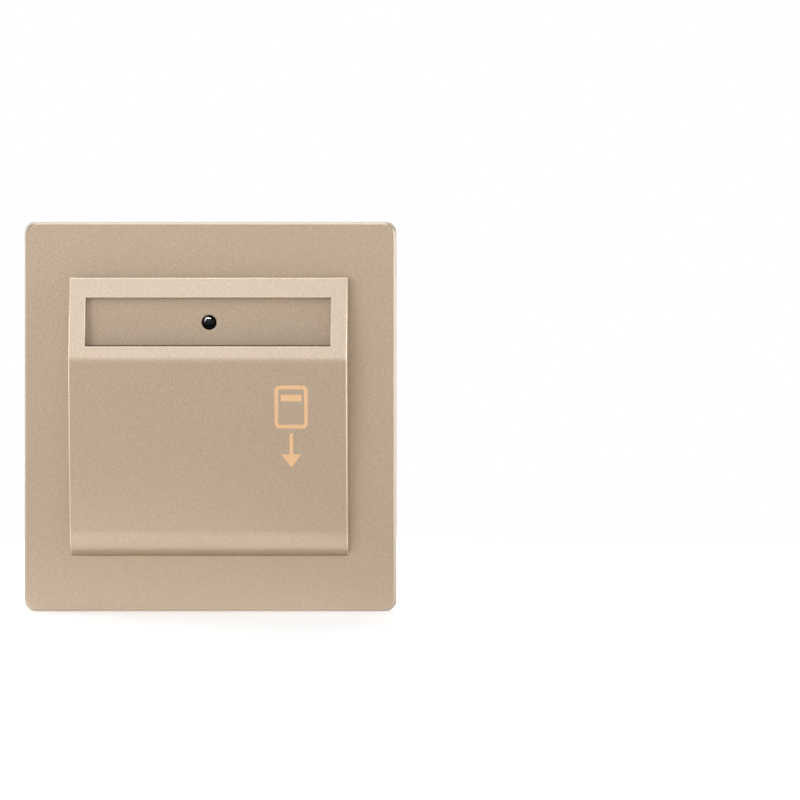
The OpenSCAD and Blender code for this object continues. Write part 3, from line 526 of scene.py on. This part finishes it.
# %% Panel, housing and pocket
PANEL_INSIDE = 40
WINDOW_HALF, WINDOW_LOW, WINDOW_HIGH = 28.3, 15.7, 27.5
WINDOW_LEFT = -27
WINDOW_SHARE, WINDOW_LEFT_SHARE, FOOT_SHARE = 0.6, 0.9, 0.4
HOUSING_BACK = -6
FOOT_Z = -28
CHEEK_X, CHEEK_FRONT, CHEEK_LOW = 27.9, -13, 13


def rim_edge(edge):
    middle = middle_mm(edge)
    return 1.0 if max(abs(middle.x), abs(middle.z)) > PANEL_INSIDE else 0.0


def housing_edge(edge):
    middle = middle_mm(edge)
    if not edge.is_convex or middle.y > HOUSING_BACK:
        return 0.0
    if abs(middle.x) < WINDOW_HALF and WINDOW_LOW < middle.z < WINDOW_HIGH:
        return WINDOW_LEFT_SHARE if middle.x < WINDOW_LEFT else WINDOW_SHARE
    along = (edge.verts[1].co - edge.verts[0].co).normalized()
    return FOOT_SHARE if middle.z < FOOT_Z and abs(along.x) > MOSTLY else 1.0


def pocket_edge(edge):
    middle = middle_mm(edge)
    at_housing = abs(middle.x) > CHEEK_X and middle.y < CHEEK_FRONT and middle.z > CHEEK_LOW
    return 0.0 if at_housing else 1.0


panel = rounded_copy("face_panel", 0.10, gold, rim_edge)
# The housing's rounded edges get the paler lacquer, a painted highlight.
housing = rounded_copy("card_housing", 0.24, gold, housing_edge, edge_material=edge_highlight_gold)
rounded_copy("card_tray", 0.20, gold, pocket_edge)

# %% [markdown]
# ## The housing's bare back
# The lacquer is taken to be sprayed from the front only. So the flange at the back of the housing is bare
# moulded plastic, and it shows through the bracket's wall slots. Its dark grey-brown is that plastic with
# painted shade, as it lies in shadow there. It could be a piece of its own. Its faces are already there, so
# they are picked by where they look, and only get another finish.

# %% Bare the back
def repaint(piece, material, chosen):
    piece.data.materials.append(material)
    faces = [face for face in piece.data.polygons if chosen(face)]
    for face in faces:
        face.material_index = len(piece.data.materials) - 1
    print(piece.name, "has", len(faces), "faces of", material.name)


def at_wall(face):
    return face.normal.y > MOSTLY and face.center.y > HOUSING_BACK * MM


# The flange gets the bare plastic with painted shade in its colour.
repaint(housing, bare_and_shaded, at_wall)

# %% [markdown]
# ## The bright bevel
# The panel's outer bevel shows as a thin pale line round its face. Its lacquer is a little smoother than the
# face and paler, and the paler tone is a painted highlight that stands in for the white surroundings it
# reflects.
# It could be a strip of its own. Here too the faces are already there and only get this paler lacquer.

# %% Paint a highlight on the panel's bevel
BEVEL_MM = 0.62
BEVEL_LEAN = (-0.98, -0.05)
panel_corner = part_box("face_panel")[1] / MM
# A paler, less saturated gold than the face: a painted highlight on the bevel.
bevel_highlight_lacquer, tree, shader, place = start_finish("bevel_painted_highlight", Metallic=0.20, Roughness=0.34)
paint(tree, shader, mottle(tree, place, (0.520, 0.420, 0.320), 2.0, 0.03))


def on_bevel(face):
    x, z = abs(face.center.x) / MM, abs(face.center.z) / MM
    at_rim = x > panel_corner.x - BEVEL_MM or z > panel_corner.z - BEVEL_MM
    return at_rim and BEVEL_LEAN[0] < face.normal.y < BEVEL_LEAN[1]


repaint(panel, bevel_highlight_lacquer, on_bevel)

# %% [markdown]
# ## The ivory and white mouldings, and the steel
# The frame, the base box and its cover have the small radius of every moulded edge. The cover's thin ledge
# over the terminals has room for a smaller one only, and its joint with the box stays sharp. The bracket is
# pressed sheet: its cut edges are nearly sharp, and the press rounds the bends at the foot and the top of
# its band.

# %% Frame, bracket, box and cover
BAND_TOP, SHEET_BACK = 0.6, -0.8
ON_LEVEL = 0.02
CUT_DEGREES = 60
SHEET_REACH = 37
CUT_SHARE = 0.2
LEDGE_Z = -15
LEDGE_SHARE = 0.2


def pressed_edge(edge):
    middle = middle_mm(edge)
    if edge.calc_face_angle(0.0) > math.radians(CUT_DEGREES):
        inside = max(abs(middle.x), abs(middle.z)) < SHEET_REACH
        return CUT_SHARE if edge.is_convex and inside else 0.0
    heights = [vert.co.y / MM for vert in edge.verts]
    on_bend = any(max(abs(y - level) for y in heights) < ON_LEVEL for level in (BAND_TOP, SHEET_BACK))
    return 1.0 if on_bend else 0.0


def cover_edge(edge):
    at_joint = any(face.normal.y < -MOSTLY for face in edge.link_faces)
    if at_joint or not edge.is_convex:
        return 0.0
    return LEDGE_SHARE if middle_mm(edge).z < LEDGE_Z else 1.0


rounded_copy("base_frame", 0.16, ivory)
rounded_copy("steel_bracket", 0.48, coated, pressed_edge, segments=4, sharp=18)
rounded_copy("base_box", 0.18, white)
rounded_copy("rear_cover", 0.20, white, cover_edge)

# %% [markdown]
# ## Terminals
# Each terminal is a turned and drilled brass block with a clamp screw from below. Their edges are only
# broken, not rounded, so the radius is small. The six pieces could be dressed one by one. A loop over the
# terminals' numbers treats them alike. The screws ride on bodies of their own and move.

# %% Blocks and screws
for number in (1, 2, 3):
    rounded_copy(f"terminal_block_{number}", 0.08, brass, segments=2)
    rounded_copy(f"terminal_screw_{number}", 0.08, brass, segments=2)

# %% [markdown]
# ## Dark lamp lens
# The lamp's dome looks black when it is off and carries one bright crescent near its top. A bright dot could
# be painted on. A lamp of its own gives a true reflection, and is linked to the dome alone, so it lights
# nothing else and the window's wall doesn't hide it. Shared sampling is off, because a mirror ray from the
# dome would meet that wall first.

# %% Lens and its own lamp
LENS_AIM_MM = (0, -12, 22)
lens, tree, shader, place = start_finish("dark_lens", Roughness=0.20, Specular_IOR_Level=0.12)
paint(tree, shader, mottle(tree, place, (0.004, 0.004, 0.005), 0.8, 0.15))
dome = rounded_copy("indicator_lamp", 0.03, lens)
lens_lamp = soft_lamp("lens_lamp", (-400, -30, 718), (350, 1400), 175.0, "mirror", LENS_AIM_MM)
lens_lamp.data.cycles.use_multiple_importance_sampling = False
lens_only = bpy.data.collections.new("lens_only")
lens_only.objects.link(dome)
lens_lamp.light_linking.receiver_collection = lens_only
lens_lamp.light_linking.blocker_collection = lens_only
print("lens is dark and has", len(dome.data.polygons), "faces")

# %% [markdown]
# ## Finishes on the remaining solids
# The parts inside could be rounded like the rest. They keep the CAD's own shape, because their edges hardly
# show through the vents, and only need the right finish, one per solid.

# %% Dress the inside
FINISHES = {
    "lamp_spacer": white, "circuit_board": board_green, "board_screws": plated, "relay": blue,
    "film_capacitor": yellow, "storage_capacitors": black, "rectifier_diodes": diode_bands,
    "surge_disc": blue, "drop_resistors": resistor_bands, "driver_transistor": black,
    "timer_chip": black, "switch_case": black, "switch_leads": plated, "switch_plunger": red,
    "card_lever": plated, "lever_pin": plated,
}
for node, material in FINISHES.items():
    slots = nodes[node].data.materials
    slots.clear()
    slots.append(material)
print("finishes on", len(FINISHES), "solids")

# %% [markdown]
# ## The printed sign
# A small sign in pale orange shows where the card goes: a card's outline and an arrow that points down.
# It could be painted by the lacquer's shader. As a thin film of its own it keeps a crisp edge at any
# distance. Its outline is drawn flat, and each point is put onto the housing's leaning lower face, once a
# little above it and once below, which gives the ink its thickness.

# %% Drawing on the lower face
INK_MM = 0.04
FACE_TOP_Y, FACE_TOP_Z = -20.5, 12.8
FALL_DEGREES = 8.7
FALL = math.tan(math.radians(FALL_DEGREES))
LEAN = math.hypot(1.0, FALL)


def on_lower_face(x, z, lift):
    y = FACE_TOP_Y + FALL * (FACE_TOP_Z - z)
    return Vector((x, y - lift / LEAN, z - lift * FALL / LEAN)) * MM


def ink_band(bm, outer, inner):
    rings = [[bm.verts.new(on_lower_face(x, z, lift)) for x, z in loop]
             for loop, lift in ((outer, -INK_MM), (outer, INK_MM), (inner, INK_MM), (inner, -INK_MM))]
    count = len(outer)
    for low, high in zip(rings, rings[1:] + rings[:1]):
        for i in range(count):
            bm.faces.new((low[i], low[(i + 1) % count], high[(i + 1) % count], high[i]))


def ink_patch(bm, outline):
    front = [bm.verts.new(on_lower_face(x, z, INK_MM)) for x, z in outline]
    back = [bm.verts.new(on_lower_face(x, z, -INK_MM)) for x, z in outline]
    count = len(outline)
    bm.faces.new(front)
    bm.faces.new(back[::-1])
    for i in range(count):
        bm.faces.new((front[i], back[i], back[(i + 1) % count], front[(i + 1) % count]))


# %% Card outline, stripe and arrow
SIGN_X = 19.0
CARD_TOP, CARD_WIDE, CARD_HIGH = 7.1, 7.6, 9.8
CORNER_OUT, CORNER_IN = 1.2, 0.5
CORNER_STEPS = 6
LINE_MM = 0.85
HALF_LINE = LINE_MM / 2
STRIPE = [(-2.4, 5.0), (2.4, 5.0), (2.4, 3.5), (-2.4, 3.5)]
ARROW = [(-HALF_LINE, -3.8), (HALF_LINE, -3.8), (HALF_LINE, -8.6), (2.3, -8.6), (0, -11.6),
         (-2.3, -8.6), (-HALF_LINE, -8.6)]


def card_loop(inset, radius):
    corners = [(1, 1, 0), (-1, 1, 90), (-1, -1, 180), (1, -1, 270)]
    width, height = CARD_WIDE - 2 * inset, CARD_HIGH - 2 * inset
    middle = CARD_TOP - inset - height / 2
    loop = []
    for sx, sz, start in corners:
        cx = SIGN_X + sx * (width / 2 - radius)
        cz = middle + sz * (height / 2 - radius)
        for step in range(CORNER_STEPS + 1):
            turn = math.radians(start + 90 * step / CORNER_STEPS)
            loop.append((cx + radius * math.cos(turn), cz + radius * math.sin(turn)))
    return loop


# %% Sign film
ink, tree, shader, place = start_finish("sign_ink", Roughness=0.42)
paint(tree, shader, mottle(tree, place, (0.940, 0.595, 0.315), 0.7, 0.04))
bm = bmesh.new()
ink_band(bm, card_loop(0.0, CORNER_OUT), card_loop(LINE_MM, CORNER_IN))
for outline in (STRIPE, ARROW):
    ink_patch(bm, [(SIGN_X + x, z) for x, z in outline])
bmesh.ops.recalc_face_normals(bm, faces=bm.faces)
sign_mesh = bpy.data.meshes.new("card_sign")
bm.to_mesh(sign_mesh)
bm.free()
sign_mesh.materials.append(ink)
sign = put("card_sign", sign_mesh)
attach(sign, "wall_unit")
print("sign has", len(sign_mesh.polygons), "faces")

# %% [markdown]
# ## Terminal numbers
# The installer needs to know which terminal is which, so plain numbers stand above them on the rear cover.
# Each figure could be drawn point by point. A text object gives it ready-made: it becomes a mesh, and is then
# turned to face the back and set above its wire entry, whose place the record gives.

# %% Numbers on the cover
entries = {mount["name"][-1]: mount for mount in frame["record"]["mounts"] if mount["kind"] == "bore"}
cover_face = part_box("rear_cover")[1].y
NUMBER_Z, NUMBER_MM = -9.6, 3.2
FACING_BACK = Matrix(((-1, 0, 0, 0), (0, 0, 1, 0), (0, 1, 0, 0), (0, 0, 0, 1)))
grey_ink, tree, shader, place = start_finish("grey_ink", Roughness=0.5)
paint(tree, shader, mottle(tree, place, (0.520, 0.510, 0.500), 0.5, 0.06))
for figure, entry in entries.items():
    curve = bpy.data.curves.new("number_" + figure, "FONT")
    curve.body = figure
    curve.size = NUMBER_MM * MM
    curve.extrude = INK_MM * MM
    curve.align_x = "CENTER"
    text = put("number_" + figure, curve)
    depsgraph = bpy.context.evaluated_depsgraph_get()
    mesh = bpy.data.meshes.new_from_object(text.evaluated_get(depsgraph))
    bpy.data.objects.remove(text)
    mesh.transform(Matrix.Translation((entry["pos_m"][0], cover_face, NUMBER_Z * MM)) @ FACING_BACK)
    mesh.materials.clear()
    mesh.materials.append(grey_ink)
    number = put("terminal_number_" + figure, mesh)
    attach(number, "wall_unit")
    print(number.name, "has", len(mesh.polygons), "faces")

# %% [markdown]
# ## Turned rings in the wire entries
# A turning tool leaves fine rings inside each brass entry, and they catch the light in the dark hole.
# Each ring could be modelled by hand. Geometry Nodes make one ring, repeat it along the bore
# and repeat that row for the three terminals, with every size as a named input.

# %% Node helpers
def new_tree(name, sizes):
    tree = bpy.data.node_groups.new(name, "GeometryNodeTree")
    tree.interface.new_socket("Geometry", in_out="OUTPUT", socket_type="NodeSocketGeometry")
    tree.interface.new_socket("Geometry", in_out="INPUT", socket_type="NodeSocketGeometry")
    keys = {}
    for label, kind in sizes.items():
        socket = tree.interface.new_socket(label, in_out="INPUT", socket_type=kind)
        keys[label] = socket.identifier
    return tree, tree.nodes.new("NodeGroupInput"), tree.nodes.new("NodeGroupOutput"), keys


def grow(name, tree, keys, values, points):
    mesh = bpy.data.meshes.new(name)
    mesh.from_pydata(points, [], [])
    piece = put(name, mesh)
    modifier = piece.modifiers.new(name, "NODES")
    modifier.node_group = tree
    for label, value in values.items():
        modifier[keys[label]] = value
    as_plain_mesh(piece, name)
    print(name, "grew", len(piece.data.polygons), "faces")
    return piece


# %% The ring tree
tree, sizes, out, keys = new_tree("turned_rings", {
    "Bore Radius": "NodeSocketFloat", "Ring Thickness": "NodeSocketFloat",
    "Ring Pitch": "NodeSocketFloat", "Rings": "NodeSocketInt"})
ring = add(tree, "GeometryNodeCurvePrimitiveCircle", {
    "Resolution": 40, "Radius": sizes.outputs["Bore Radius"]})
wire = add(tree, "GeometryNodeCurvePrimitiveCircle", {
    "Resolution": 6, "Radius": sizes.outputs["Ring Thickness"]})
tube = add(tree, "GeometryNodeCurveToMesh", {
    "Curve": ring.outputs["Curve"], "Profile Curve": wire.outputs["Curve"]})
upright = add(tree, "GeometryNodeTransform", {
    "Geometry": tube.outputs["Mesh"], "Rotation": (math.radians(90), 0, 0)})
step = add(tree, "ShaderNodeCombineXYZ", {"Y": sizes.outputs["Ring Pitch"]})
row = add(tree, "GeometryNodeMeshLine", {
    "Count": sizes.outputs["Rings"], "Offset": step.outputs["Vector"]})
rings = add(tree, "GeometryNodeInstanceOnPoints", {
    "Points": row.outputs["Mesh"], "Instance": upright.outputs["Geometry"]})
every = add(tree, "GeometryNodeInstanceOnPoints", {
    "Points": sizes.outputs["Geometry"], "Instance": rings.outputs["Instances"]})
real = add(tree, "GeometryNodeRealizeInstances", {"Geometry": every.outputs["Instances"]})
dress = add(tree, "GeometryNodeSetMaterial", {"Geometry": real.outputs["Geometry"], "Material": brass})
tree.links.new(dress.outputs["Geometry"], out.inputs["Geometry"])
print("ring tree has", len(tree.nodes), "nodes")

# %% Grow the rings
RING_COUNT = 4
RING_MM, RING_PITCH_MM = 0.09, 0.5
FIRST_RING_MM = 1.4
inward = Vector((0, -FIRST_RING_MM * MM, 0))
entry_rings = grow("entry_rings", tree, keys, {
    "Bore Radius": entries["1"]["dims"]["r_mm"] * MM, "Ring Thickness": RING_MM * MM,
    "Ring Pitch": RING_PITCH_MM * MM, "Rings": RING_COUNT,
}, [Vector(entry["pos_m"]) + inward for entry in entries.values()])
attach(entry_rings, "wall_unit")
